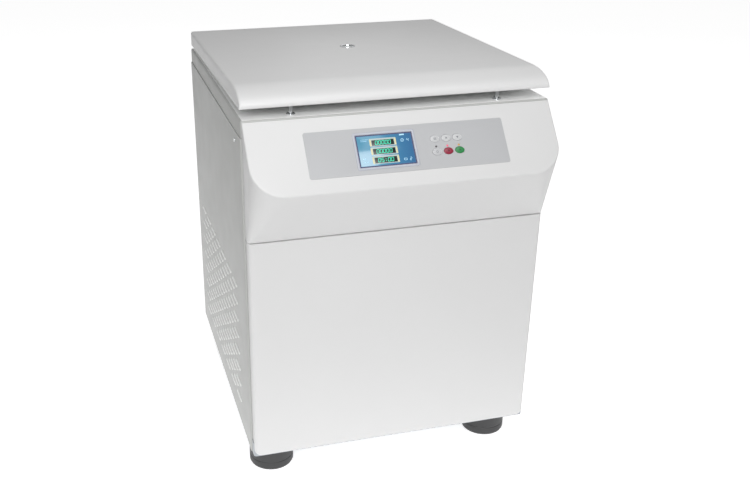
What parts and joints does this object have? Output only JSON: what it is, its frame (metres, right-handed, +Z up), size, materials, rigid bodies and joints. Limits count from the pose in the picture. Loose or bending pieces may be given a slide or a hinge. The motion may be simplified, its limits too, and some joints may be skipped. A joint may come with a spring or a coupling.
{
  "type": "floor-standing laboratory centrifuge",
  "caption": "Floor-standing refrigerated laboratory centrifuge: boxy cabinet with a sloping control console, hinged lid with sight glass, swing-out rotor in a round chamber.",
  "frame": {"origin": "middle of the footprint, on the floor under the feet", "axes": "+X to the right seen from the front, +Y to the back, +Z up; the console faces -Y"},
  "size_m": [0.6224, 0.7476, 0.8454],
  "materials": {
    "painted_steel": "satin powder coat",
    "front_paint": "semi-gloss",
    "lid_paint": "semi-gloss",
    "overlay_film": "satin film",
    "bezel_plastic": "gloss",
    "screen_glass": "lit display",
    "key_silver": "gloss",
    "key_grey": "gloss",
    "key_red": "gloss",
    "key_green": "gloss",
    "lamp_lens": "translucent",
    "circuit_board": "satin",
    "foot_rubber": "matt",
    "seal_rubber": "matt",
    "stainless": "brushed",
    "copper": "drawn tube",
    "foam": "rigid foam",
    "raw_steel": "zinc plated",
    "liner_plastic": "satin",
    "chrome": "polished",
    "port_glass": "clear",
    "spring_black": "gloss black",
    "motor_paint": "semi-gloss",
    "spindle_steel": "ground",
    "rotor_aluminium": "anodised",
    "bucket_steel": "satin",
    "fin_aluminium": "mill",
    "black_plastic": "satin",
    "rocker_plastic": "gloss"
  },
  "bodies": {
    "cabinet": {"base_pan": "raw_steel", "chamber_gasket": "seal_rubber", "compressor": "spring_black", "condenser": "fin_aluminium", "console_housing": "front_paint", "control_board": "circuit_board", "control_overlay": "overlay_film", "corner_posts": "raw_steel", "deck_hinge_brackets": "raw_steel", "display_bezel": "bezel_plastic", "evaporator_coil": "copper", "fan_frame": "black_plastic", "feet": "foot_rubber", "gas_spring_feet": "raw_steel", "guard_ring": "raw_steel", "insulation_jacket": "foam", "lcd_screen": "screen_glass", "lock_bushes": "chrome", "lock_housings": "raw_steel", "lower_front_panel": "front_paint", "mid_deck": "raw_steel", "motor": "motor_paint", "motor_buffers": "foot_rubber", "motor_inverter": "fin_aluminium", "motor_plate": "raw_steel", "panel_screws": "chrome", "power_inlet": "black_plastic", "rear_panel": "painted_steel", "rotor_chamber": "stainless", "side_panel_left": "painted_steel", "side_panel_right": "painted_steel", "status_lamps": "lamp_lens", "top_deck": "painted_steel"},
    "lid": {"lid_shell": "lid_paint", "lid_liner": "liner_plastic", "view_port_ring": "chrome", "view_port_glass": "port_glass", "striker_pins": "chrome", "lid_hinge_arms": "raw_steel"},
    "rotor": {"drive_spindle": "spindle_steel", "rotor_yoke": "rotor_aluminium", "rotor_knob": "rotor_aluminium"},
    "bucket_1": {"bucket_1": "bucket_steel"},
    "bucket_2": {"bucket_2": "bucket_steel"},
    "bucket_3": {"bucket_3": "bucket_steel"},
    "bucket_4": {"bucket_4": "bucket_steel"},
    "spring_body_left": {"gas_spring_body_left": "spring_black"},
    "spring_rod_left": {"gas_spring_rod_left": "chrome"},
    "lock_fork_left": {"lock_fork_left": "raw_steel"},
    "spring_body_right": {"gas_spring_body_right": "spring_black"},
    "spring_rod_right": {"gas_spring_rod_right": "chrome"},
    "lock_fork_right": {"lock_fork_right": "raw_steel"},
    "key_menu": {"key_menu": "key_silver"},
    "key_up": {"key_up": "key_silver"},
    "key_down": {"key_down": "key_silver"},
    "key_set": {"key_set": "key_grey"},
    "key_stop": {"key_stop": "key_red"},
    "key_start": {"key_start": "key_green"},
    "condenser_fan": {"condenser_fan": "black_plastic"},
    "power_rocker": {"power_rocker": "rocker_plastic"}
  },
  "joints": [
    {"name": "lid_hinge", "type": "hinge", "parent": "cabinet", "child": "lid", "pos_m": [0, 0.36596, 0.8005], "axis": [-1, 0, 0], "range_deg": [0, 75]},
    {"name": "spring_left_pivot", "type": "hinge", "parent": "cabinet", "child": "spring_body_left", "pos_m": [-0.248, 0.34096, 0.5655], "axis": [-1, 0, 0], "range_deg": [0, 8.87]},
    {"name": "spring_left_rod", "type": "slide", "parent": "spring_body_left", "child": "spring_rod_left", "axis": [0, -0.1551, 0.9879], "range_m": [0, 0.06484]},
    {"name": "spring_right_pivot", "type": "hinge", "parent": "cabinet", "child": "spring_body_right", "pos_m": [0.248, 0.34096, 0.5655], "axis": [-1, 0, 0], "range_deg": [0, 8.87]},
    {"name": "spring_right_rod", "type": "slide", "parent": "spring_body_right", "child": "spring_rod_right", "axis": [0, -0.1551, 0.9879], "range_m": [0, 0.06484]},
    {"name": "rotor_spin", "type": "hinge", "parent": "cabinet", "child": "rotor", "pos_m": [0, 0.07896, 0.6], "axis": [0, 0, 1], "continuous": true},
    {"name": "bucket_1_swing", "type": "hinge", "parent": "rotor", "child": "bucket_1", "pos_m": [0.11, 0.07896, 0.69], "axis": [0, -1, 0], "range_deg": [0, 90]},
    {"name": "bucket_2_swing", "type": "hinge", "parent": "rotor", "child": "bucket_2", "pos_m": [0, 0.18896, 0.69], "axis": [1, 0, 0], "range_deg": [0, 90]},
    {"name": "bucket_3_swing", "type": "hinge", "parent": "rotor", "child": "bucket_3", "pos_m": [-0.11, 0.07896, 0.69], "axis": [0, 1, 0], "range_deg": [0, 90]},
    {"name": "bucket_4_swing", "type": "hinge", "parent": "rotor", "child": "bucket_4", "pos_m": [0, -0.03104, 0.69], "axis": [-1, 0, 0], "range_deg": [0, 90]},
    {"name": "key_menu_press", "type": "slide", "parent": "cabinet", "child": "key_menu", "axis": [0, 0.7705, -0.6374], "range_m": [0, 0.001], "stiffness_N_per_m": 400, "springref_m": -0.001},
    {"name": "key_up_press", "type": "slide", "parent": "cabinet", "child": "key_up", "axis": [0, 0.7705, -0.6374], "range_m": [0, 0.001], "stiffness_N_per_m": 400, "springref_m": -0.001},
    {"name": "key_down_press", "type": "slide", "parent": "cabinet", "child": "key_down", "axis": [0, 0.7705, -0.6374], "range_m": [0, 0.001], "stiffness_N_per_m": 400, "springref_m": -0.001},
    {"name": "key_set_press", "type": "slide", "parent": "cabinet", "child": "key_set", "axis": [0, 0.7705, -0.6374], "range_m": [0, 0.001], "stiffness_N_per_m": 400, "springref_m": -0.001},
    {"name": "key_stop_press", "type": "slide", "parent": "cabinet", "child": "key_stop", "axis": [0, 0.7705, -0.6374], "range_m": [0, 0.001], "stiffness_N_per_m": 400, "springref_m": -0.001},
    {"name": "key_start_press", "type": "slide", "parent": "cabinet", "child": "key_start", "axis": [0, 0.7705, -0.6374], "range_m": [0, 0.001], "stiffness_N_per_m": 400, "springref_m": -0.001},
    {"name": "fan_spin", "type": "hinge", "parent": "cabinet", "child": "condenser_fan", "pos_m": [0.15, 0.29776, 0.21], "axis": [0, 1, 0], "continuous": true},
    {"name": "lock_left_slide", "type": "slide", "parent": "cabinet", "child": "lock_fork_left", "axis": [1, 0, 0], "range_m": [0, 0.009]},
    {"name": "lock_right_slide", "type": "slide", "parent": "cabinet", "child": "lock_fork_right", "axis": [-1, 0, 0], "range_m": [0, 0.009]},
    {"name": "power_switch", "type": "hinge", "parent": "cabinet", "child": "power_rocker", "pos_m": [-0.163, 0.36876, 0.16], "axis": [1, 0, 0], "range_deg": [0, 8]}
  ],
  "couplings": [
    {"joint": "spring_left_pivot", "follows": "lid_hinge", "ratio": 0.11563},
    {"joint": "spring_left_rod", "follows": "lid_hinge", "m_per_rad": 0.049306},
    {"joint": "spring_right_pivot", "follows": "lid_hinge", "ratio": 0.11563},
    {"joint": "spring_right_rod", "follows": "lid_hinge", "m_per_rad": 0.049306},
    {"joint": "lock_right_slide", "follows": "lock_left_slide", "ratio": 1}
  ]
}
